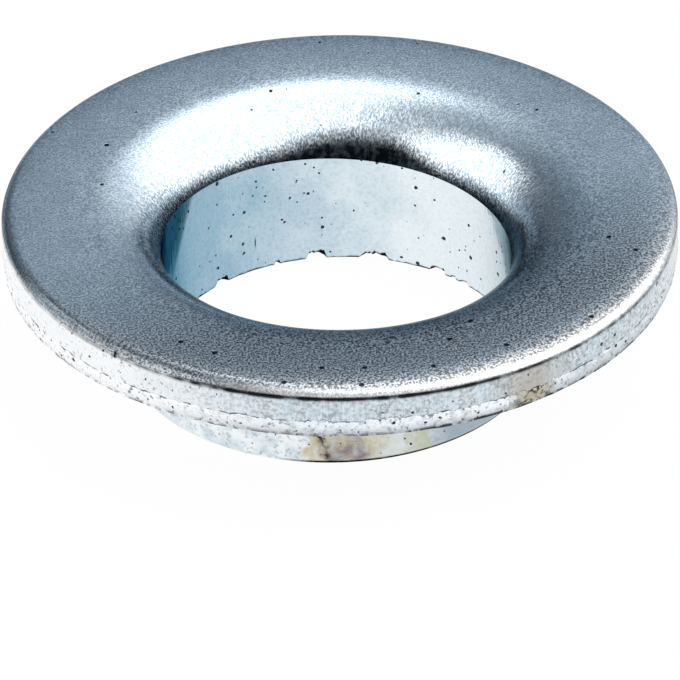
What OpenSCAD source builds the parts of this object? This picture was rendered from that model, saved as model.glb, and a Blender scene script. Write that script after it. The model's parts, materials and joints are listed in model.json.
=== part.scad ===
// Flanged collar washer: one piece of plated sheet steel.
// A round flange with a rolled-over rim and a collar drawn down through its middle.
// The washer stands on its collar, with the origin at the middle of the collar's foot.

/* [Flange] */
// Outside diameter of the flange
flange_d = 25; // [24:0.5:36]
// Thickness of the flange
flange_t = 2; // [1.6:0.1:3]

/* [Collar] */
// Diameter of the bore
bore_d = 13; // [10:0.1:14]
// Thickness of the collar's wall, thinned by the drawing
collar_wall = 1.4; // [1:0.05:2]
// Length of the collar below the flange
collar_l = 4.5; // [3:0.1:9]
// Hollow fillet where the collar meets the flange
root_r = 0.6; // [0.3:0.05:1]
// Rounding of the collar's lower outside edge, at most half its wall
foot_r = 0.65; // [0.2:0.05:0.8]

/* [Neck] */
// Height of the flared neck between the bore and the top face
neck_h = 2.1; // [1.8:0.05:2.4]
// Radius of the neck, which meets the bore at an edge and runs out into the top face
neck_r = 3.1; // [2.6:0.1:3.6]

/* [Rim] */
// Width over which the top face falls towards its edge
roll_w = 1.2; // [1:0.1:1.4]
// Radius of that fall
roll_r = 6; // [4:0.5:10]
// Rounding of the rolled-over corner between the fall and the rim
crease_r = 0.5; // [0.35:0.05:0.6]
// Height of the rough fracture band above the underside
fracture_h = 0.66; // [0.3:0.02:0.9]
// How far the fracture band draws in at the underside
fracture_in = 0.06; // [0:0.02:0.2]

/* [Torn edge] */
// Width of the widest flake torn from the bore's lower edge
flake_w = 1.2; // [0.6:0.05:1.6]
// Depth of the deepest flake, up the bore's wall
flake_h = 0.36; // [0.2:0.02:0.5]
// How far the deepest flake reaches out across the foot
flake_reach = 0.45; // [0.3:0.05:0.5]

/* [Hidden] */

// Largest angle between two points of an arc of the section
arc_step = 5;

flange_r = flange_d / 2;
bore_r = bore_d / 2;
collar_r = bore_r + collar_wall;
top_z = collar_l + flange_t;

// The neck is an arc that leaves the bore's wall at this angle
neck_angle = asin(1 - neck_h / neck_r);
neck_centre = [bore_r + neck_r * cos(neck_angle), top_z - neck_r];

// The top face falls along an arc, and the crease rounds its corner with the rim
roll_centre = [flange_r - roll_w, top_z - roll_r];
crease_drop = sqrt(pow(roll_r - crease_r, 2) - pow(roll_w - crease_r, 2));
crease_centre = [flange_r - crease_r, roll_centre.y + crease_drop];
crease_angle = atan2(crease_drop, roll_w - crease_r);

root_centre = [collar_r + root_r, collar_l - root_r];
foot_round = min(foot_r, collar_wall / 2);
foot_centre = [collar_r - foot_round, foot_round];

// Flakes torn from the bore's lower edge: angle round the bore, share of the widest, share of the deepest
flakes = [
    [3, 0.35, 0.5], [18, 0.6, 0.7], [44, 0.4, 0.4], [49, 0.25, 0.35], [55.5, 0.65, 0.7], [78.5, 1, 0.85],
    [98, 0.7, 1], [111.5, 0.2, 0.5], [133.5, 0.6, 0.8], [165, 0.55, 0.7], [184, 0.7, 0.8], [202, 0.45, 0.6],
    [221, 0.75, 0.8], [239, 0.25, 0.45], [254, 0.5, 0.65], [272, 0.85, 0.95], [290, 0.3, 0.4], [313, 0.65, 0.8],
    [327, 0.4, 0.6], [346, 0.8, 0.85]
];

// Points of an arc in the plane of the section, from one angle to another
function arc(centre, radius, from, to) =
    let (steps = ceil(abs(to - from) / arc_step))
    [for (i = [0:steps]) let (a = from + (to - from) * i / steps) centre + radius * [cos(a), sin(a)]];

// Half section of the washer: radius across, height up
section = concat(
    [[bore_r, 0]],
    arc(neck_centre, neck_r, 180 - neck_angle, 90),
    arc(roll_centre, roll_r, 90, crease_angle),
    arc(crease_centre, crease_r, crease_angle, 0),
    [[flange_r, collar_l + fracture_h], [flange_r - fracture_in, collar_l]],
    arc(root_centre, root_r, 90, 180),
    arc(foot_centre, foot_round, 0, -90)
);

// The gap that one flake leaves: an uneven notch whose roof falls from the bore's wall out to the foot
module flake_gap(width, height) {
    roof_fall = atan(flake_h / flake_reach);
    notch = [
        [-width / 2, -2 * height],
        [-width / 2, -height],
        [-width / 4, 0],
        [width / 5, -height / 6],
        [width / 2, -height],
        [width / 2, -2 * height]
    ];
    translate([bore_r, 0, height])
        rotate([0, roof_fall, 0])
            translate([-flake_reach, 0, 0])
                rotate([90, 0, 90])
                    linear_extrude(3 * flake_reach)
                        polygon(notch);
}

module flanged_washer() {
    color("lightsteelblue")
        difference() {
            rotate_extrude($fn = 180)
                polygon(section);
            for (flake = flakes)
                rotate(flake[0])
                    flake_gap(flake[1] * flake_w, flake[2] * flake_h);
        }
}

flanged_washer();
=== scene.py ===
"""The looks of a flanged collar washer.

A fine mesh takes the place of the plain solid, with its zinc finish, a floor, light and a camera.
"""

import json
import math

import bpy
import numpy as np
from mathutils import Matrix, Vector


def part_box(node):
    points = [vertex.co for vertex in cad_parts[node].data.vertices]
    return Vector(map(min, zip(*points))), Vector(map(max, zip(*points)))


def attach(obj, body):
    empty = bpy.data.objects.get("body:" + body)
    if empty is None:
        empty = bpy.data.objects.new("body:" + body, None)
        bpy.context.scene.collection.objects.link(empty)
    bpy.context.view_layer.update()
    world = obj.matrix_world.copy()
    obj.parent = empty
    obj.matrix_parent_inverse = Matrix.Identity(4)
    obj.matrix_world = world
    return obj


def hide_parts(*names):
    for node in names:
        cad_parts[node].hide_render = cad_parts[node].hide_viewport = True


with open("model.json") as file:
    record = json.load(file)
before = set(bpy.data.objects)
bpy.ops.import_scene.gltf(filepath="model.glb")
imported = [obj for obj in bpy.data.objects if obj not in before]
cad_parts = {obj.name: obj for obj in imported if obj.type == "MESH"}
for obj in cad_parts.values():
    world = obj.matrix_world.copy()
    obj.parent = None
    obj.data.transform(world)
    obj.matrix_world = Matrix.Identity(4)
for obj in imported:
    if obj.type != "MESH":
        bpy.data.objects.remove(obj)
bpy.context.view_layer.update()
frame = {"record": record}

# Sizes from the frame, in metres
MM = 0.001
MOUNTS = {mount["name"]: mount for mount in frame["record"]["mounts"]}
FLANGE_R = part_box("flanged_washer")[1].x
TOP_Z = MOUNTS["top_face"]["pos_m"][2]
UNDERSIDE_Z = MOUNTS["flange_underside"]["pos_m"][2]
COLLAR_R = MOUNTS["collar_outside"]["dims"]["r_mm"] * MM
BORE_R = MOUNTS["bore"]["dims"]["r_mm"] * MM
THROAT_Z = MOUNTS["bore"]["dims"]["length_mm"] * MM

# Sizes of the section that the frame doesn't state, as in the part's source
NECK_R = 3.1 * MM
ROLL_W = 1.2 * MM
ROLL_R = 6 * MM
CREASE_R = 0.5 * MM
FRACTURE_H = 0.66 * MM
FRACTURE_IN = 0.06 * MM
ROOT_R = 0.6 * MM
FOOT_R = 0.65 * MM
FLAKE_W = 1.2 * MM
FLAKE_H = 0.36 * MM
FLAKE_REACH = 0.45 * MM

# Flakes torn from the bore's lower edge: angle round the bore, share of the widest, share of the deepest
FLAKES = [
    (3, 0.35, 0.5), (18, 0.6, 0.7), (44, 0.4, 0.4), (49, 0.25, 0.35), (55.5, 0.65, 0.7), (78.5, 1, 0.85),
    (98, 0.7, 1), (111.5, 0.2, 0.5), (133.5, 0.6, 0.8), (165, 0.55, 0.7), (184, 0.7, 0.8), (202, 0.45, 0.6),
    (221, 0.75, 0.8), (239, 0.25, 0.45), (254, 0.5, 0.65), (272, 0.85, 0.95), (290, 0.3, 0.4),
    (313, 0.65, 0.8), (327, 0.4, 0.6), (346, 0.8, 0.85),
]

# Unevenness of the real stamping
EDGE_WEAR = 0.04 * MM
DISH = 0.045 * MM
DISH_ANGLE = math.radians(4)
FLAT_SIDE_ANGLE = 212
FLAT_SIDE_W = 9 * MM
FLAT_SIDE_GAIN = 2.5
NECK_SAG = 0.09 * MM
NECK_SAG_AT = 0.25
NECK_SAG_SPREAD = 0.15
BORE_RUNOUT = 0.14 * MM
THROAT_LEAN = 0.22 * MM
COLLAR_RUNOUT = 0.33 * MM
LUMPS = 150
LUMP_SEED = 11
LUMP_H = 0.16 * MM
LUMP_BULGE = 0.08 * MM
GRIT = 0.008 * MM
CHIP_SHARE = 0.06
NICK_ANGLE = 229.3
NICK_W = 0.07 * MM
NICK_D = 0.02 * MM

# Dark specks on the front of the top face: place across and back, in millimetres
SPECKS = [
    (3.3, -10.94), (-2.06, -11.87), (5.94, -9.62), (0.83, -11.02), (0.72, -12.06), (9.85, -2.47),
    (9.05, -7.77), (-4.54, -9.94), (3.9, -9.19), (-0.7, -10.99), (-5.76, -9.19), (-8.67, 4.31),
    (10.8, -3.37), (4.68, -7.95),
]
SPECK_CORE = 0.08
SPECK_REACH = 0.12

# The mesh: points round each ring, rings on each band, and the angle from which an edge is sharp
SEGMENTS = 1200
BORE_ROWS = 6
NECK_ROWS = 19
CREASE_ROWS = 13
SHARP_ANGLE = math.radians(38)
THETA = np.linspace(0, 2 * math.pi, SEGMENTS, endpoint=False)

# Rows of the crease: strength of the painted dark line that stands in for the dark front reflected there,
# the first row of the sheared band, and the rows where the nick's groove is painted dark
CREASE_PAINTED_LINE = {9: 0.8, 10: 1.3, 11: 0.5}
BURNISH_ROW = 9
NICK_ROWS = range(8, 12)

# The floor: half its width, and the share of plain white in what is seen of it
FLOOR_HALF = 2.0
FLOOR_WHITE = 0.97

# The camera: the photograph's frame, and where the foot's middle lies in it
FRAME_PX = 680
FOCAL_PX = 8034.5
SENSOR = 36
CAMERA_DISTANCE = 0.3
CAMERA_ELEVATION = math.radians(33.24)
CAMERA_ROLL = math.radians(0.619)
FOOT_RIGHT_PX = 0.88
FOOT_DOWN_PX = 10.85


def ripple(counts, seed):
    """Smooth unevenness round the ring, mostly between -1 and 1: waves of these counts per turn."""
    phases = np.random.default_rng(seed).uniform(0, 2 * math.pi, len(counts))
    waves = [np.cos(count * THETA + phase) for count, phase in zip(counts, phases)]
    return np.sum(waves, axis=0) / math.sqrt(len(counts))


def roughness(rows, seed, spread):
    """Random unevenness on a band of the mesh, smoothed round the ring over this many segments."""
    noise = np.random.default_rng(seed).standard_normal((rows, SEGMENTS))
    waves = np.fft.rfftfreq(SEGMENTS) * spread
    smooth = np.fft.irfft(np.fft.rfft(noise, axis=1) * np.exp(-20 * waves ** 2), SEGMENTS, axis=1)
    return smooth / smooth.std()


def arc(centre, radius, start, end, count):
    """(radius, height) of points along an arc of the section, between two angles in degrees.

    Each value may change round the ring.
    """
    angles = np.radians(np.linspace(start, end, count))
    return [(centre[0] + radius * np.cos(a), centre[1] + radius * np.sin(a)) for a in angles]


def bump_at(angle, width):
    """A rounded rise to 1 at an angle of the ring, in degrees, over a width along the rim."""
    turn = (THETA - math.radians(angle) + math.pi) % (2 * math.pi) - math.pi
    return np.exp(-(turn * FLANGE_R / width) ** 2)


def at_angles(degrees, values):
    """Values that change round the ring, from a list of angles between -180 and 180."""
    turn = (np.degrees(THETA) + 180) % 360 - 180
    return np.interp(turn, degrees, values)


def torn_edge():
    """Height of the tear up the bore's wall and its reach across the foot, round the ring."""
    wear = EDGE_WEAR * (1 + 0.4 * ripple([17, 29, 43, 61, 97, 131], seed=3))
    height = wear
    reach = 0.4 * wear
    ragged = 1 + 0.12 * ripple([83, 113, 157, 211, 263], seed=4)
    for angle, width_share, height_share in FLAKES:
        turn = (THETA - math.radians(angle) + math.pi) % (2 * math.pi) - math.pi
        across = turn * BORE_R / (width_share * FLAKE_W)
        depth = np.interp(across, [-0.5, -0.36, 0.28, 0.5], [0, 1, 5 / 6, 0]) * ragged
        spread = np.interp(across, [-0.5, -0.36, -0.1, 0.28, 0.5], [0, 0.55, 1, 0.95, 0]) * ragged
        height = np.maximum(height, depth * height_share * FLAKE_H)
        reach = np.maximum(reach, spread * height_share * FLAKE_REACH)
    return height, reach


def fracture_lumps():
    """Rounded lumps along the fracture band, round the ring.

    Gives the share of the full rise, which is 0 between lumps, and each lump's own size.
    """
    rng = np.random.default_rng(LUMP_SEED)
    ends = np.cumsum(rng.uniform(0.4, 1.4, LUMPS) ** 2)
    ends *= 2 * math.pi / ends[-1]
    lump = np.searchsorted(ends, THETA, side="right")
    starts = np.concatenate([[0], ends[:-1]])
    across = (THETA - starts[lump]) / (ends[lump] - starts[lump])
    size = rng.uniform(0.3, 1, LUMPS)[lump]
    clear = at_angles([-180, -130, -100, -45, -20, 180], [0.25, 0.25, 1, 1, 0.4, 0.25])
    return np.sqrt(np.clip(1 - np.abs(2 * across - 1) ** 3, 0, 1)), size * clear


def section_rows():
    """Rows of the mesh along the section.

    Each row holds its radius, height and painted shade round the ring, and the finish of the faces after it.
    """
    rows = []

    def add(radius, height, finish, painted_shade=0.0):
        rows.append([np.broadcast_to(value, THETA.shape) for value in (radius, height, painted_shade)] + [finish])

    # Bore, from the torn edge up to the throat, which leans
    tear_h, tear_reach = torn_edge()
    throat_z = THROAT_Z - THROAT_LEAN * np.cos(THETA)
    # The lowest row carries full painted shade along the torn edge
    for share in [0, 0.015] + list(np.linspace(0, 1, BORE_ROWS)[1:-1]):
        radius = BORE_R - BORE_RUNOUT * share * np.cos(THETA)
        add(radius, tear_h + (throat_z - tear_h) * share, "bore", 1.0 if share == 0 else 0.0)

    # Neck, an arc that meets the bore at an edge
    edge_angle = math.asin(1 - (TOP_Z - THROAT_Z) / NECK_R)
    neck_h = TOP_Z - DISH - throat_z
    neck_r = neck_h / (math.cos(DISH_ANGLE) - math.sin(edge_angle))
    neck_middle = BORE_R - BORE_RUNOUT * np.cos(THETA) + neck_r * math.cos(edge_angle)
    sag = NECK_SAG * at_angles([-180, -165, -150, -30, -15, 0], [0, 0.6, 1, 1, 0.6, 0])
    # Painted shade of the throat, standing in for the dark front reflected there, deepest at the back, and a
    # fainter painted shade further up the neck
    core = at_angles([55, 72, 86, 97, 110], [0, 0.14, 0.15, 0.1, 0])
    painted_throat_depth_at = [-165, -60, -40, -15, 0, 15, 70, 100, 165, 180]
    painted_throat_depth = at_angles(painted_throat_depth_at, [0.4, 0.5, 0.8, 0.85, 0.7, 0.8, 1, 1, 0.85, 0.5])
    painted_neck_shade = at_angles([-180, -172, -25, 0, 14, 140, 160, 180], [0.3, 0.5, 0.5, 0.22, 0, 0, 0.25, 0.3])
    painted_neck_shade_turn = [-180, -165, -30, -5, 5, 150, 165, 180]
    painted_neck_shade_at = at_angles(painted_neck_shade_turn, [0.38, 0.48, 0.5, 0.37, 0.3, 0.22, 0.26, 0.38])
    for share in np.linspace(0, 1, NECK_ROWS) ** 1.3:
        dark = painted_throat_depth * np.clip((core + 0.2 - share) / 0.17, 0, 1)
        dark = np.maximum(dark, painted_neck_shade * np.exp(-((share - painted_neck_shade_at) / 0.1) ** 2))
        angle = math.pi - edge_angle + (edge_angle + DISH_ANGLE - math.pi / 2) * share
        height = throat_z + neck_r * (math.sin(angle) - math.sin(edge_angle))
        radius = neck_middle + neck_r * math.cos(angle)
        swollen = sag * math.exp(-((share - NECK_SAG_AT) / NECK_SAG_SPREAD) ** 2)
        add(radius - swollen, height, "top", dark)

    # Top face, slightly dished, its fall to the edge, flatter at the left, and the crease with its nick
    flat_side = bump_at(FLAT_SIDE_ANGLE, FLAT_SIDE_W)
    roll_r = ROLL_R * (1 + FLAT_SIDE_GAIN * flat_side)
    roll_centre = (FLANGE_R - ROLL_W, TOP_Z - roll_r)
    neck_end = neck_middle - neck_r * math.sin(DISH_ANGLE)
    for share in (0.12, 0.28, 0.5, 0.75):
        add(neck_end + (roll_centre[0] - neck_end) * share, TOP_Z - DISH * (1 - share) ** 3, "top")
    crease_drop = np.sqrt((roll_r - CREASE_R) ** 2 - (ROLL_W - CREASE_R) ** 2)
    crease_centre = (FLANGE_R - CREASE_R, roll_centre[1] + crease_drop)
    crease_angle = np.degrees(np.arctan2(crease_drop, ROLL_W - CREASE_R))
    nick = bump_at(NICK_ANGLE, NICK_W)
    painted_line_at = [-170, -135, -125, -114, -107, -100, -72, -60, -43, -20, 10]
    painted_line = at_angles(painted_line_at, [0.3, 0.35, 0.45, 0.7, 0.95, 1, 1, 0.75, 0.6, 0.5, 0.3])
    painted_line = painted_line * np.clip(1.1 + 0.3 * roughness(1, seed=13, spread=2)[0], 0.6, 1.35)
    for radius, height in arc(roll_centre, roll_r, 90, crease_angle, 3)[:-1]:
        add(radius, height, "top")
    crease = arc(crease_centre, CREASE_R, crease_angle, 0, CREASE_ROWS)[:-1]
    # Painted shade on the crease: the dark line, the crease darkened at the flatter left so that no lamp
    # highlight shows there, and the nick's groove painted dark
    for step, (radius, height) in enumerate(crease):
        shade = np.interp(step, [0, 2, 4, 5, 7, 8, 9, 10], [0, 0.15, 0.4, 0.7, 0.75, 0.45, 0.15, 0])
        crease_shade = CREASE_PAINTED_LINE.get(step, 0) * painted_line + shade * flat_side
        mark = np.maximum(crease_shade, 1.3 * nick if step in NICK_ROWS else 0)
        cut = NICK_D * nick * np.interp(step, [5, 8], [0, 1])
        add(radius - cut, height - cut, "top" if step < BURNISH_ROW else "burnish", mark)

    # Rim: the smooth sheared band, then the fracture band of rounded lumps
    pillow, size = fracture_lumps()
    border = UNDERSIDE_Z + FRACTURE_H + LUMP_H * (pillow * size - 0.5)
    for share in (0, 0.3, 0.6, 0.93):
        add(FLANGE_R, crease_centre[1] + (border - crease_centre[1]) * share, "burnish")
    # Painted shade: a broken dark line along the lumps' top border, shade between the lumps, and the shadow
    # under the flange at the band's foot
    border_shadow = 1.2 * np.clip(0.3 + ripple([23, 41, 67, 89, 127, 173], seed=9), 0, 1)
    steps = np.array([0, 0.04, 0.1, 0.18, 0.28, 0.4, 0.52, 0.64, 0.76, 0.88, 1])
    grit = roughness(len(steps), seed=7, spread=2.5) * GRIT
    underside_shadow = at_angles([-180, -120, -80, -72, -55, -40], [0.7, 0.8, 0.9, 2.5, 2.5, 1.2])
    swell_at = [0, 0.04, 0.1, 0.2, 0.35, 0.6, 1]
    swell_share = [0, 0.25, 0.55, 0.85, 1, 0.8, 0.2]
    for share, bits in zip(steps, grit):
        swell = LUMP_BULGE * np.interp(share, swell_at, swell_share)
        radius = FLANGE_R - FRACTURE_IN * share + swell * (0.45 + 0.55 * pillow) * size
        painted_shade = np.clip((1 - pillow) * (1 - share) - 0.3, 0, 1) * size
        painted_shade = painted_shade + underside_shadow * np.interp(share, [0.8, 0.97], [0, 1])
        painted_shade = painted_shade + (border_shadow if share == 0 else 0)
        height = border + (UNDERSIDE_Z - border) * share
        add(radius + bits * min(share / 0.1, 1), height, "fracture", painted_shade)

    # Underside, root and collar, which is drawn a little off the flange's middle
    runout = -COLLAR_RUNOUT * np.cos(THETA)
    root_centre = (COLLAR_R + ROOT_R, UNDERSIDE_Z - ROOT_R)
    foot_centre = (COLLAR_R - FOOT_R, FOOT_R)
    outer = FLANGE_R - FRACTURE_IN
    for share in (0.1, 0.55):
        add(outer + (root_centre[0] - outer) * share, UNDERSIDE_Z, "top")
    for radius, height in arc(root_centre, ROOT_R, 90, 180, 5):
        add(radius + runout, height, "collar")
    for share in (0.25, 0.5, 0.75):
        add(COLLAR_R + runout, root_centre[1] + (foot_centre[1] - root_centre[1]) * share, "collar")
    for radius, height in arc(foot_centre, FOOT_R, 0, -90, 7):
        add(radius + runout, height, "collar")

    # Foot, in to the tear, and the tear's own face back up to the bore
    tear_r = BORE_R + tear_reach
    foot_r = foot_centre[0] + runout
    for share in (0.35, 0.7):
        add(foot_r + (tear_r - foot_r) * share, 0, "collar")
    steps = np.linspace(0, 1, 6)[:-1]
    chips = roughness(len(steps), seed=5, spread=2) * CHIP_SHARE
    for share, chip in zip(steps, chips):
        depth = 1 + chip * min(share / 0.2, 1)
        add(BORE_R + tear_reach * (1 - share) * depth, tear_h * share * depth, "torn")
    return rows


def node(tree, kind, inputs=None, **settings):
    """A shader node with these settings. Each input is set to a value or linked to a socket."""
    made = tree.nodes.new(kind)
    for name, value in settings.items():
        setattr(made, name, value)
    for name, value in (inputs or {}).items():
        if isinstance(value, bpy.types.NodeSocket):
            tree.links.new(value, made.inputs[name])
        else:
            made.inputs[name].default_value = value
    return made


def metal(name):
    """A new metal material: (material, tree, its Principled node, the surface point in millimetres)."""
    material = bpy.data.materials.new(name)
    material.use_nodes = True
    tree = material.node_tree
    shader = next(n for n in tree.nodes if n.type == "BSDF_PRINCIPLED")
    shader.inputs["Metallic"].default_value = 1
    place = node(tree, "ShaderNodeTexCoord").outputs["Object"]
    point = node(tree, "ShaderNodeVectorMath", {0: place, "Scale": 1 / MM}, operation="SCALE").outputs[0]
    return material, tree, shader, point


def noise(tree, point, scale, detail=2.0):
    """Noise of this many waves per millimetre."""
    inputs = {"Vector": point, "Scale": scale, "Detail": detail, "Roughness": 0.55}
    return node(tree, "ShaderNodeTexNoise", inputs).outputs["Fac"]


def ranged(tree, value, low, high, to_low=0.0, to_high=1.0):
    """A value mapped from one range to another and clamped to it."""
    inputs = {"Value": value, "From Min": low, "From Max": high, "To Min": to_low, "To Max": to_high}
    return node(tree, "ShaderNodeMapRange", inputs, clamp=True).outputs["Result"]


def mixed(tree, factor, first, second):
    """A mix of two colours."""
    made = node(tree, "ShaderNodeMix", data_type="RGBA")
    sockets = {"Factor": made.inputs[0], "A": made.inputs[6], "B": made.inputs[7]}
    for name, value in (("Factor", factor), ("A", first), ("B", second)):
        if isinstance(value, bpy.types.NodeSocket):
            tree.links.new(value, sockets[name])
        else:
            sockets[name].default_value = value
    return made.outputs[2]


def math_node(tree, operation, first, second):
    """One step of arithmetic on two values."""
    return node(tree, "ShaderNodeMath", {0: first, 1: second}, operation=operation).outputs[0]


def product(tree, first, *others):
    """The product of two or more values."""
    for other in others:
        first = math_node(tree, "MULTIPLY", first, other)
    return first


def distance_along(tree, point, direction):
    """How far a point lies along a direction."""
    both = {0: point, 1: direction}
    return node(tree, "ShaderNodeVectorMath", both, operation="DOT_PRODUCT").outputs["Value"]


def painted_shade_mask(tree):
    """The mesh's own mask of painted shade: the dark of the throat, crease, nick, lump gaps, underside and
    torn edge.
    """
    return node(tree, "ShaderNodeAttribute", attribute_name="painted_shade").outputs["Fac"]


def stretched(tree, point, along):
    """The point with its height scaled, so that noise on an upright wall runs along it."""
    return node(tree, "ShaderNodeVectorMath", {0: point, 1: (1, 1, along)}, operation="MULTIPLY").outputs[0]


def spokes(tree, point, turn_scale, along):
    """A place whose noise runs in spokes: direction from the axis, then radius and height together."""
    split = node(tree, "ShaderNodeSeparateXYZ", {0: point})
    flat = node(tree, "ShaderNodeCombineXYZ", {0: split.outputs[0], 1: split.outputs[1]}).outputs[0]
    radius = node(tree, "ShaderNodeVectorMath", {0: flat}, operation="LENGTH").outputs["Value"]
    turn = node(tree, "ShaderNodeVectorMath", {0: flat}, operation="NORMALIZE").outputs[0]
    turn = node(tree, "ShaderNodeVectorMath", {0: turn, "Scale": turn_scale}, operation="SCALE").outputs[0]
    run = product(tree, math_node(tree, "ADD", radius, split.outputs[2]), along)
    shift = node(tree, "ShaderNodeCombineXYZ", {2: run}).outputs[0]
    return node(tree, "ShaderNodeVectorMath", {0: turn, 1: shift}, operation="ADD").outputs[0]


def pits(tree, point, per_mm, share, size):
    """A mask of small ragged pits: one place per cell, of which this share holds a pit up to this size."""
    ragged = {"Vector": point, "Scale": 10.0, "Detail": 1.0}
    wobble = node(tree, "ShaderNodeTexNoise", ragged).outputs["Color"]
    sway = {0: wobble, 1: (0.08, 0.08, 0.08), 2: point}
    moved = node(tree, "ShaderNodeVectorMath", sway, operation="MULTIPLY_ADD")
    cells = node(tree, "ShaderNodeTexVoronoi", {"Vector": moved.outputs[0], "Scale": per_mm})
    chance = node(tree, "ShaderNodeSeparateColor", {0: cells.outputs["Color"]}).outputs[0]
    radius = ranged(tree, chance, 1 - share, 1, 0, size)
    inside = math_node(tree, "SUBTRACT", radius, cells.outputs["Distance"])
    return ranged(tree, inside, 0, 0.04)


def pitted(tree, point, *kinds):
    """A mask of pits of several kinds, each given as (cells per millimetre, share with a pit, size)."""
    mask = pits(tree, point, *kinds[0])
    for kind in kinds[1:]:
        mask = math_node(tree, "MAXIMUM", mask, pits(tree, point, *kind))
    return mask


def near(tree, point, place, core, reach):
    """A mask that is 1 within the core of a place and fades out at its reach, in millimetres."""
    apart = node(tree, "ShaderNodeVectorMath", {0: point, 1: place}, operation="DISTANCE").outputs["Value"]
    return ranged(tree, apart, reach, core)


def within(tree, value, low, high, soft):
    """A mask that is 1 where a value lies between two bounds, with soft ends."""
    rise = ranged(tree, value, low - soft, low + soft)
    return product(tree, rise, ranged(tree, value, high + soft, high - soft))


def rim_place(angle, height):
    """A place on the rim, in millimetres, at an angle in degrees."""
    turn = math.radians(angle)
    return (FLANGE_R / MM * math.cos(turn), FLANGE_R / MM * math.sin(turn), height / MM)


def bump(tree, shader, height, depth):
    """Relief on the shader: height from 0 to 1, and the depth of the range in metres."""
    made = node(tree, "ShaderNodeBump", {"Height": height, "Distance": depth, "Strength": 1.0})
    tree.links.new(made.outputs[0], shader.inputs["Normal"])


def top_finish():
    """Satin zinc of the top face and neck: fine grain, drawn out down the neck, specks, painted shade at the
    throat, crease and front, and a painted highlight tone on the rim.
    """
    material, tree, shader, point = metal("zinc_satin")
    split = node(tree, "ShaderNodeSeparateXYZ", {0: point})
    across, height = split.outputs[0], split.outputs[2]
    grain = noise(tree, point, 12, detail=3)
    forward = distance_along(tree, point, (0.31, -0.95, 0))
    front = ranged(tree, forward, 0.5, 7.5)
    flat = node(tree, "ShaderNodeVectorMath", {0: point, 1: (1, 1, 0)}, operation="MULTIPLY").outputs[0]
    radius = node(tree, "ShaderNodeVectorMath", {0: flat}, operation="LENGTH").outputs["Value"]
    beside = distance_along(tree, point, (0.64, -0.77, 0))
    on_rim = product(tree, ranged(tree, beside, 8, 12, 0.4, 0.9), ranged(tree, radius, 11.7, 12.15), front)
    drawn = noise(tree, spokes(tree, point, 9, 0.55), 11)
    on_neck = ranged(tree, height, TOP_Z / MM - 0.15, TOP_Z / MM - 0.7)
    relief = node(tree, "ShaderNodeMix", {0: on_neck, 2: grain, 3: drawn}).outputs[0]
    # Painted shade: towards the front the top face is darker, in its grain and its colours
    salt_low = ranged(tree, front, 0, 1, 0.41, 0.435)
    salt_high = ranged(tree, front, 0, 1, 0.59, 0.565)
    salt = ranged(tree, relief, salt_low, salt_high)
    dark = mixed(tree, front, (0.38, 0.47, 0.54, 1), (0.055, 0.07, 0.085, 1))
    light = mixed(tree, on_neck, (0.75, 0.86, 0.94, 1), (0.86, 0.91, 0.94, 1))
    colour = mixed(tree, salt, dark, mixed(tree, front, light, (0.54, 0.6, 0.65, 1)))
    cloud = ranged(tree, noise(tree, point, 0.6, detail=3), 0.3, 0.7, 0, 0.25)
    colour = mixed(tree, cloud, colour, (0.3, 0.38, 0.46, 1))
    # Painted tone of the rim's highlight: where the lamp shows on the front of the rim, the colour turns
    # even and neutral, so the highlight is dimmer, grainy and warm-white
    highlight_tone = mixed(tree, salt, (0.15, 0.15, 0.15, 1), (0.52, 0.51, 0.5, 1))
    colour = mixed(tree, on_rim, colour, highlight_tone)
    corner = product(tree, ranged(tree, radius, 12.22, 12.34), ranged(tree, across, -5, -2.5), front)
    colour = mixed(tree, corner, colour, mixed(tree, salt, (0.6, 0.6, 0.6, 1), (0.97, 0.96, 0.95, 1)))
    # Painted shade of the throat, with a grainy fringe: the dark front reflected low on the neck, put into
    # the colour and the edge tint
    throat_shade = painted_shade_mask(tree)
    shade_fringe = product(tree, ranged(tree, throat_shade, 0, 0.2), ranged(tree, relief, 0.3, 0.7, 0.24, -0.24))
    shade_fringe = product(tree, shade_fringe, ranged(tree, throat_shade, 1, 0.75), ranged(tree, radius, 11.5, 10.5))
    throat_shade = node(tree, "ShaderNodeMath", {0: throat_shade, 1: shade_fringe}, operation="ADD", use_clamp=True).outputs[0]
    colour = mixed(tree, throat_shade, colour, (0.005, 0.007, 0.009, 1))
    edge = mixed(tree, throat_shade, (0.35, 0.4, 0.45, 1), (0.02, 0.02, 0.02, 1))
    tree.links.new(edge, shader.inputs["Specular Tint"])
    blotch = ranged(tree, noise(tree, point, 3.2, detail=3), 0.55, 0.35, 0, 0.2)
    colour = mixed(tree, blotch, colour, (0.22, 0.28, 0.33, 1))
    specks = pits(tree, point, 1.6, 0.45, 0.15)
    for place in SPECKS:
        specks = math_node(tree, "MAXIMUM", specks, near(tree, flat, (*place, 0), SPECK_CORE, SPECK_REACH))
    colour = mixed(tree, specks, colour, (0.02, 0.025, 0.03, 1))
    tree.links.new(colour, shader.inputs["Base Color"])
    tree.links.new(ranged(tree, noise(tree, point, 5), 0.3, 0.7, 0.17, 0.25), shader.inputs["Roughness"])
    depth = ranged(tree, on_neck, 0, 1, 0.55, 1)
    raised = product(tree, math_node(tree, "SUBTRACT", relief, specks), depth)
    bump(tree, shader, raised, depth=0.012 * MM)
    return material


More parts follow.
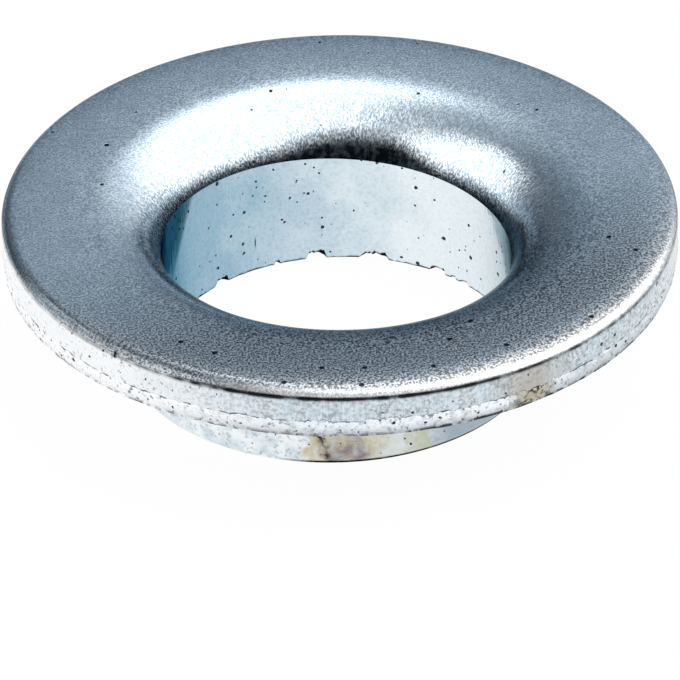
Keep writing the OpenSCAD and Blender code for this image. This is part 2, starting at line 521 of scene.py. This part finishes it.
def bore_finish():
    """Smooth zinc of the bore: bluish to the left, with painted dark reflection at the far left and in a
    leaning strip, pale to the right, and pits.
    """
    material, tree, shader, point = metal("zinc_bore")
    split = node(tree, "ShaderNodeSeparateXYZ", {0: point})
    side, height = split.outputs[0], split.outputs[2]
    cloud = noise(tree, point, 0.5, detail=4)
    # Bluish zinc that darkens to the left, in colour and edge tint: partly the zinc's own tint, partly a
    # painted reflection of the dark there
    place = math_node(tree, "ADD", side, ranged(tree, cloud, 0.3, 0.7, -1.5, 1.5))
    paleness = ranged(tree, place, -4.7, 3.4)
    colour = mixed(tree, paleness, (0.31, 0.49, 0.61, 1), (0.82, 0.89, 0.93, 1))
    drag = noise(tree, stretched(tree, point, 0.12), 9, detail=3)
    colour = mixed(tree, ranged(tree, drag, 0.35, 0.7, 0, 0.07), colour, (0.95, 0.97, 0.98, 1))
    fleck = ranged(tree, noise(tree, point, 7, detail=4), 0.3, 0.55, 1, 0)
    fleck = product(tree, fleck, ranged(tree, paleness, 0, 1, 0.5, 0.15))
    colour = mixed(tree, fleck, colour, (0.25, 0.35, 0.42, 1))
    # Painted reflection: the far left darker teal, and a leaning strip darker still
    colour = mixed(tree, ranged(tree, side, -5.8, -6.3, 0, 0.3), colour, (0.1, 0.22, 0.29, 1))
    lean = math_node(tree, "SUBTRACT", side, product(tree, height, 0.295))
    painted_dark_strip = product(tree, ranged(tree, lean, -6.78, -6.94), ranged(tree, side, -6.4, -6.05, 0, 0.8))
    colour = mixed(tree, painted_dark_strip, colour, (0.08, 0.17, 0.22, 1))
    holes = pitted(tree, point, (2.0, 0.9, 0.21), (3.3, 0.7, 0.2))
    scratch = near(tree, stretched(tree, point, 0.14), (-3.2, 5.68, 0.17), 0.015, 0.04)
    holes = math_node(tree, "MAXIMUM", holes, scratch)
    # Painted shade along the torn lower edge, for the shade under the flakes
    torn = painted_shade_mask(tree)
    torn = product(tree, torn, ranged(tree, noise(tree, point, 2.2), 0.35, 0.6))
    torn = product(tree, torn, ranged(tree, height, 1.2, 0.8))
    colour = mixed(tree, math_node(tree, "MAXIMUM", holes, torn), colour, (0.03, 0.045, 0.06, 1))
    tree.links.new(colour, shader.inputs["Base Color"])
    edge = mixed(tree, paleness, (0.24, 0.4, 0.48, 1), (0.45, 0.52, 0.55, 1))
    edge = mixed(tree, painted_dark_strip, edge, (0.08, 0.14, 0.17, 1))
    tree.links.new(edge, shader.inputs["Specular Tint"])
    tree.links.new(ranged(tree, cloud, 0.3, 0.7, 0.06, 0.1), shader.inputs["Roughness"])
    bump(tree, shader, math_node(tree, "SUBTRACT", drag, holes), depth=0.004 * MM)
    return material


def burnish_finish():
    """Sheared band of the rim: bright and mottled, with faint upright scoring, pits, a brownish patch, a
    painted paler left side and the crease's painted dark line.
    """
    material, tree, shader, point = metal("zinc_burnish")
    score = noise(tree, stretched(tree, point, 0.1), 11, detail=3)
    mottle = noise(tree, point, 7, detail=5)
    colour = mixed(tree, ranged(tree, mottle, 0.38, 0.58), (0.32, 0.39, 0.44, 1), (0.71, 0.77, 0.81, 1))
    patch = ranged(tree, noise(tree, point, 0.9, detail=5), 0.46, 0.54, 0, 0.45)
    colour = mixed(tree, patch, colour, (0.66, 0.78, 0.86, 1))
    side = node(tree, "ShaderNodeSeparateXYZ", {0: point}).outputs[0]
    # Painted light: the left of the band paler, where it reflects the floor, its scoring faded there
    painted_light_left = ranged(tree, side, -2, -8)
    scored = product(tree, ranged(tree, score, 0.48, 0.3), ranged(tree, painted_light_left, 0, 1, 0.38, 0.05))
    colour = mixed(tree, ranged(tree, score, 0.5, 0.7, 0, 0.25), colour, (0.86, 0.9, 0.92, 1))
    colour = mixed(tree, scored, colour, (0.3, 0.35, 0.38, 1))
    colour = mixed(tree, product(tree, painted_light_left, 0.85), colour, (0.98, 0.99, 1, 1))
    fleck = ranged(tree, noise(tree, point, 6, detail=5), 0.42, 0.32, 0, 0.7)
    colour = mixed(tree, fleck, colour, (0.25, 0.29, 0.32, 1))
    brown = product(tree, near(tree, point, rim_place(-57, 5.3 * MM), 0.4, 2), mottle)
    colour = mixed(tree, brown, colour, (0.4, 0.3, 0.2, 1))
    holes = pitted(tree, point, (1.9, 0.6, 0.18), (3.2, 0.6, 0.18))
    # Painted shade from the mesh: the crease's dark line
    painted_shade = painted_shade_mask(tree)
    colour = mixed(tree, math_node(tree, "MAXIMUM", holes, painted_shade), colour, (0.02, 0.022, 0.025, 1))
    tree.links.new(colour, shader.inputs["Base Color"])
    tree.links.new(ranged(tree, mottle, 0.3, 0.7, 0.1, 0.2), shader.inputs["Roughness"])
    bump(tree, shader, math_node(tree, "SUBTRACT", mottle, holes), depth=0.012 * MM)
    return material


def fracture_finish():
    """Fracture band: pale rough lumps, painted shade between them and low down, a painted paler left, and a
    brownish patch.
    """
    material, tree, shader, point = metal("zinc_fracture")
    height = node(tree, "ShaderNodeSeparateXYZ", {0: point}).outputs[2]
    crumble = noise(tree, point, 4, detail=4)
    # Painted shade: the band darker low down, paler at the top of the lumps
    upper = ranged(tree, height, UNDERSIDE_Z / MM + 0.05, UNDERSIDE_Z / MM + 0.45)
    shade = product(tree, ranged(tree, crumble, 0.3, 0.5, 0.5, 1), ranged(tree, upper, 0, 1, 0.5, 1))
    colour = mixed(tree, shade, (0.18, 0.22, 0.25, 1), (0.92, 0.97, 1, 1))
    side = node(tree, "ShaderNodeSeparateXYZ", {0: point}).outputs[0]
    # Painted light: paler to the left, where the band reflects the floor
    colour = mixed(tree, ranged(tree, side, -1, -7, 0, 0.8), colour, (0.99, 0.99, 1, 1))
    colour = mixed(tree, ranged(tree, side, 6, 9, 0, 0.5), colour, (0.5, 0.54, 0.58, 1))
    spotted = ranged(tree, noise(tree, point, 4.5, detail=4), 0.4, 0.54)
    hue = mixed(tree, spotted, (0.06, 0.05, 0.04, 1), (0.54, 0.52, 0.42, 1))
    colour = mixed(tree, near(tree, point, rim_place(-56.5, 4.75 * MM), 0.5, 1.15), colour, hue)
    painted_shade = painted_shade_mask(tree)
    broken = ranged(tree, noise(tree, point, 3), 0.42, 0.58)
    flecks = ranged(tree, noise(tree, point, 5.5, detail=4), 0.42, 0.32, 0, 0.85)
    colour = mixed(tree, flecks, colour, (0.12, 0.13, 0.14, 1))
    holes = pitted(tree, point, (2.6, 0.6, 0.22), (4.5, 0.5, 0.25))
    # Pits, and painted shade from the mesh between the lumps and under the flange
    holes = math_node(tree, "MAXIMUM", holes, product(tree, painted_shade, broken))
    colour = mixed(tree, holes, colour, (0.05, 0.055, 0.06, 1))
    tree.links.new(colour, shader.inputs["Base Color"])
    shader.inputs["Roughness"].default_value = 0.6
    bump(tree, shader, math_node(tree, "SUBTRACT", crumble, holes), depth=0.045 * MM)
    return material


def torn_finish():
    """Faces left by the flakes torn from the bore's lower edge: rough, and painted nearly black for the
    shade under the flakes.
    """
    material, tree, shader, point = metal("zinc_torn")
    crumble = noise(tree, point, 5, detail=4)
    # Painted shade: the colour and the edge tint nearly black
    colour = mixed(tree, ranged(tree, crumble, 0.58, 0.75), (0.006, 0.007, 0.008, 1), (0.5, 0.54, 0.56, 1))
    shader.inputs["Specular Tint"].default_value = (0.1, 0.1, 0.1, 1)
    tree.links.new(colour, shader.inputs["Base Color"])
    shader.inputs["Roughness"].default_value = 0.5
    bump(tree, shader, crumble, depth=0.03 * MM)
    return material


def collar_finish():
    """Outside of the collar: pale zinc, at the front a yellow, green and purple stain and a dark run, and a
    painted shadow low on the foot.
    """
    material, tree, shader, point = metal("zinc_collar")
    across, back, height = node(tree, "ShaderNodeSeparateXYZ", {0: point}).outputs
    cloud = noise(tree, point, 1.6, detail=5)
    colour = mixed(tree, ranged(tree, cloud, 0.3, 0.62), (0.56, 0.68, 0.75, 1), (0.9, 0.94, 0.96, 1))
    speckle = noise(tree, point, 6, detail=4)
    colour = mixed(tree, ranged(tree, speckle, 0.47, 0.34, 0, 0.5), colour, (0.24, 0.3, 0.34, 1))
    right = ranged(tree, across, 2.7, 3.9, 0, 0.85)
    colour = mixed(tree, right, colour, (0.28, 0.36, 0.42, 1))
    wobble = ranged(tree, noise(tree, point, 2, detail=5), 0.3, 0.7, -0.6, 0.6)
    side = math_node(tree, "ADD", across, product(tree, wobble, 0.5))
    at_front = ranged(tree, back, -2, -5)
    low = ranged(tree, math_node(tree, "ADD", height, wobble), 1.8, 0.1)
    purple = product(tree, low, within(tree, side, -0.5, 1, 0.3))
    hue = mixed(tree, purple, (0.56, 0.51, 0.36, 1), (0.17, 0.12, 0.17, 1))
    hue = mixed(tree, within(tree, side, 1.5, 2.4, 0.3), hue, (0.66, 0.7, 0.68, 1))
    hue = mixed(tree, within(tree, side, 2.5, 3.5, 0.3), hue, (0.5, 0.53, 0.42, 1))
    stain = product(tree, within(tree, side, -1.3, 3.3, 0.12), at_front)
    blotch = ranged(tree, noise(tree, point, 3.5, detail=4), 0.35, 0.65, 0.6, 1)
    colour = mixed(tree, product(tree, stain, blotch), colour, hue)
    slant = product(tree, height, 0.4)
    sway = product(tree, wobble, 0.25)
    run = math_node(tree, "ADD", across, math_node(tree, "ADD", slant, sway))
    run = product(tree, within(tree, run, -0.44, -0.12, 0.13), at_front)
    run = product(tree, run, ranged(tree, noise(tree, point, 3.2, detail=4), 0.42, 0.58, 0.25, 1))
    colour = mixed(tree, run, colour, (0.06, 0.035, 0.03, 1))
    # Painted shadow: a dark band low on the foot's rounding, except at the left, in colour and edge tint
    foot_shadow = product(tree, ranged(tree, height, 0.38, 0.29), ranged(tree, speckle, 0.3, 0.5, 0.6, 1))
    foot_shadow = product(tree, foot_shadow, ranged(tree, across, -2.5, -1))
    foot_shadow = product(tree, foot_shadow, ranged(tree, height, 0.02, 0.08))
    colour = mixed(tree, foot_shadow, colour, (0.03, 0.032, 0.036, 1))
    tree.links.new(mixed(tree, foot_shadow, (1, 1, 1, 1), (0.03, 0.03, 0.03, 1)), shader.inputs["Specular Tint"])
    holes = pitted(tree, point, (1.9, 0.5, 0.15), (3.4, 0.5, 0.18))
    colour = mixed(tree, holes, colour, (0.05, 0.05, 0.06, 1))
    tree.links.new(colour, shader.inputs["Base Color"])
    shader.inputs["Roughness"].default_value = 0.22
    drag = noise(tree, stretched(tree, point, 0.3), 6, detail=3)
    bump(tree, shader, math_node(tree, "SUBTRACT", drag, holes), depth=0.012 * MM)
    return material


def build_washer():
    """The washer as one closed mesh of rings, with a finish for each band of its section."""
    rows = section_rows()
    radius, height, painted_shade = (np.array([row[i] for row in rows]) for i in range(3))
    points = np.stack([radius * np.cos(THETA), radius * np.sin(THETA), height], axis=-1)
    here = np.arange(len(rows) * SEGMENTS).reshape(len(rows), SEGMENTS)
    below = np.roll(here, -1, axis=0)
    quads = np.stack([here, below, np.roll(below, -1, axis=1), np.roll(here, -1, axis=1)], axis=-1)
    mesh = bpy.data.meshes.new("washer")
    mesh.from_pydata(points.reshape(-1, 3).tolist(), [], quads.reshape(-1, 4).tolist())
    finishes = {
        "bore": bore_finish(),
        "top": top_finish(),
        "burnish": burnish_finish(),
        "fracture": fracture_finish(),
        "torn": torn_finish(),
        "collar": collar_finish(),
    }
    for material in finishes.values():
        mesh.materials.append(material)
    order = list(finishes)
    indices = np.repeat([order.index(row[3]) for row in rows], SEGMENTS)
    mesh.polygons.foreach_set("material_index", indices.astype(np.int32))
    # Painted shade goes on the mesh as a point attribute, which the finishes read to darken their colour
    values = mesh.attributes.new("painted_shade", "FLOAT", "POINT").data
    values.foreach_set("value", painted_shade.ravel().astype(np.float32))
    mesh.shade_smooth()
    mesh.set_sharp_from_angle(angle=SHARP_ANGLE)
    ends = np.empty(2 * len(mesh.edges), dtype=np.int32)
    mesh.edges.foreach_get("vertices", ends)
    sharp = np.empty(len(mesh.edges), dtype=bool)
    mesh.edges.foreach_get("use_edge_sharp", sharp)
    sharp |= (ends.reshape(-1, 2) // SEGMENTS == BORE_ROWS).all(axis=1)
    mesh.edges.foreach_set("use_edge_sharp", sharp)
    washer = bpy.data.objects.new("washer", mesh)
    bpy.context.scene.collection.objects.link(washer)
    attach(washer, "root")
    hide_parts("flanged_washer")


def build_floor():
    """A wide pale floor."""
    half = FLOOR_HALF
    mesh = bpy.data.meshes.new("floor")
    corners = [(-half, -half, 0), (half, -half, 0), (half, half, 0), (-half, half, 0)]
    mesh.from_pydata(corners, [], [(0, 1, 2, 3)])
    material = bpy.data.materials.new("floor_white")
    material.use_nodes = True
    shader = next(n for n in material.node_tree.nodes if n.type == "BSDF_PRINCIPLED")
    shader.inputs["Base Color"].default_value = (0.93, 0.93, 0.93, 1)
    shader.inputs["Roughness"].default_value = 0.9
    shader.inputs["Specular IOR Level"].default_value = 0
    tree = material.node_tree
    path = node(tree, "ShaderNodeLightPath")
    seen = math_node(tree, "MAXIMUM", path.outputs["Is Camera Ray"], path.outputs["Is Glossy Ray"])
    seen = math_node(tree, "MAXIMUM", seen, path.outputs["Is Transmission Ray"])
    white = node(tree, "ShaderNodeEmission", {"Color": (1, 1, 1, 1), "Strength": 1.0}).outputs[0]
    share = product(tree, seen, FLOOR_WHITE)
    blend = node(tree, "ShaderNodeMixShader", {0: share, 1: shader.outputs[0], 2: white})
    output = next(n for n in tree.nodes if n.type == "OUTPUT_MATERIAL")
    tree.links.new(blend.outputs[0], output.inputs["Surface"])
    mesh.materials.append(material)
    floor = bpy.data.objects.new("floor", mesh)
    bpy.context.scene.collection.objects.link(floor)


def softbox(name, azimuth, zenith, distance, width, height, radiance):
    """A rectangular lamp of even radiance that faces the washer, placed by its direction in degrees."""
    turn, lean = math.radians(azimuth), math.radians(zenith)
    direction = Vector((math.sin(lean) * math.cos(turn), math.sin(lean) * math.sin(turn), math.cos(lean)))
    lamp = bpy.data.lights.new(name, "AREA")
    lamp.shape = "RECTANGLE"
    lamp.size = width
    lamp.size_y = height
    lamp.energy = radiance * math.pi * width * height
    thing = bpy.data.objects.new(name, lamp)
    thing.location = direction * distance
    thing.rotation_euler = direction.to_track_quat("Z", "Y").to_euler()
    bpy.context.scene.collection.objects.link(thing)


def build_light():
    """Two softboxes, overhead to the right and low to the left, in a pale room that is dark low down."""
    softbox("softbox_right", azimuth=0, zenith=34.5, distance=0.5, width=0.92, height=1.02, radiance=1.0)
    softbox("softbox_left", azimuth=186, zenith=65, distance=0.5, width=0.66, height=0.42, radiance=1.9)
    world = bpy.data.worlds.new("room")
    bpy.context.scene.world = world
    world.use_nodes = True
    tree = world.node_tree
    backdrop = next(n for n in tree.nodes if n.type == "BACKGROUND")
    direction = node(tree, "ShaderNodeTexCoord").outputs["Generated"]
    split = node(tree, "ShaderNodeSeparateXYZ", {0: direction})
    right, back, up = split.outputs
    at_back = ranged(tree, back, -0.2, 0.5)
    shade = product(tree, at_back, ranged(tree, up, 0.25, 0.5, 0.95, 1))
    shade = product(tree, shade, ranged(tree, right, -0.05, -0.45, 1, 0.6))
    colour = mixed(tree, shade, (0.008, 0.008, 0.01, 1), (0.35, 0.405, 0.46, 1))
    colour = mixed(tree, ranged(tree, up, 0.62, 0.8), colour, (0.5, 0.55, 0.6, 1))
    start = ranged(tree, right, -0.15, 0.2, 0.64, 0.47)
    full = ranged(tree, right, -0.15, 0.2, 0.92, 0.68)
    above = product(tree, ranged(tree, up, start, full), ranged(tree, right, -0.42, 0))
    colour = mixed(tree, product(tree, above, at_back), colour, (1.5, 1.5, 1.5, 1))
    ahead = product(tree, ranged(tree, back, 0.1, -0.25), ranged(tree, up, 0.1, 0.3))
    ahead = product(tree, ahead, ranged(tree, right, -0.9, 0.05, 0.3, 1))
    colour = mixed(tree, ahead, colour, (0.95, 0.96, 0.98, 1))
    glow = product(tree, ranged(tree, right, 0.06, 0.45), ranged(tree, back, -0.95, -0.2))
    glow = product(tree, glow, ranged(tree, back, 1, 0.8))
    tree.links.new(mixed(tree, glow, colour, (1.1, 1.12, 1.15, 1)), backdrop.inputs["Color"])


def build_camera():
    """The photograph's view: from the front and above, a little rolled, the foot just below the middle."""
    forward = Vector((0, math.cos(CAMERA_ELEVATION), -math.sin(CAMERA_ELEVATION)))
    right = Vector((1, 0, 0))
    up = right.cross(forward)
    place = -forward * CAMERA_DISTANCE
    per_px = CAMERA_DISTANCE / FOCAL_PX
    aim = (up * FOOT_DOWN_PX - right * FOOT_RIGHT_PX) * per_px
    back = (place - aim).normalized()
    side = up.cross(back).normalized()
    side = Matrix.Rotation(-CAMERA_ROLL, 3, back) @ side
    lens = bpy.data.cameras.new("camera")
    lens.sensor_width = SENSOR
    lens.lens = FOCAL_PX * SENSOR / FRAME_PX
    lens.clip_start = 0.01
    camera = bpy.data.objects.new("camera", lens)
    turn = Matrix((side, back.cross(side), back)).transposed().to_4x4()
    camera.matrix_world = Matrix.Translation(place) @ turn
    bpy.context.scene.collection.objects.link(camera)
    bpy.context.scene.camera = camera


build_camera()
build_washer()
build_floor()
build_light()
bpy.context.scene.view_settings.view_transform = "Standard"
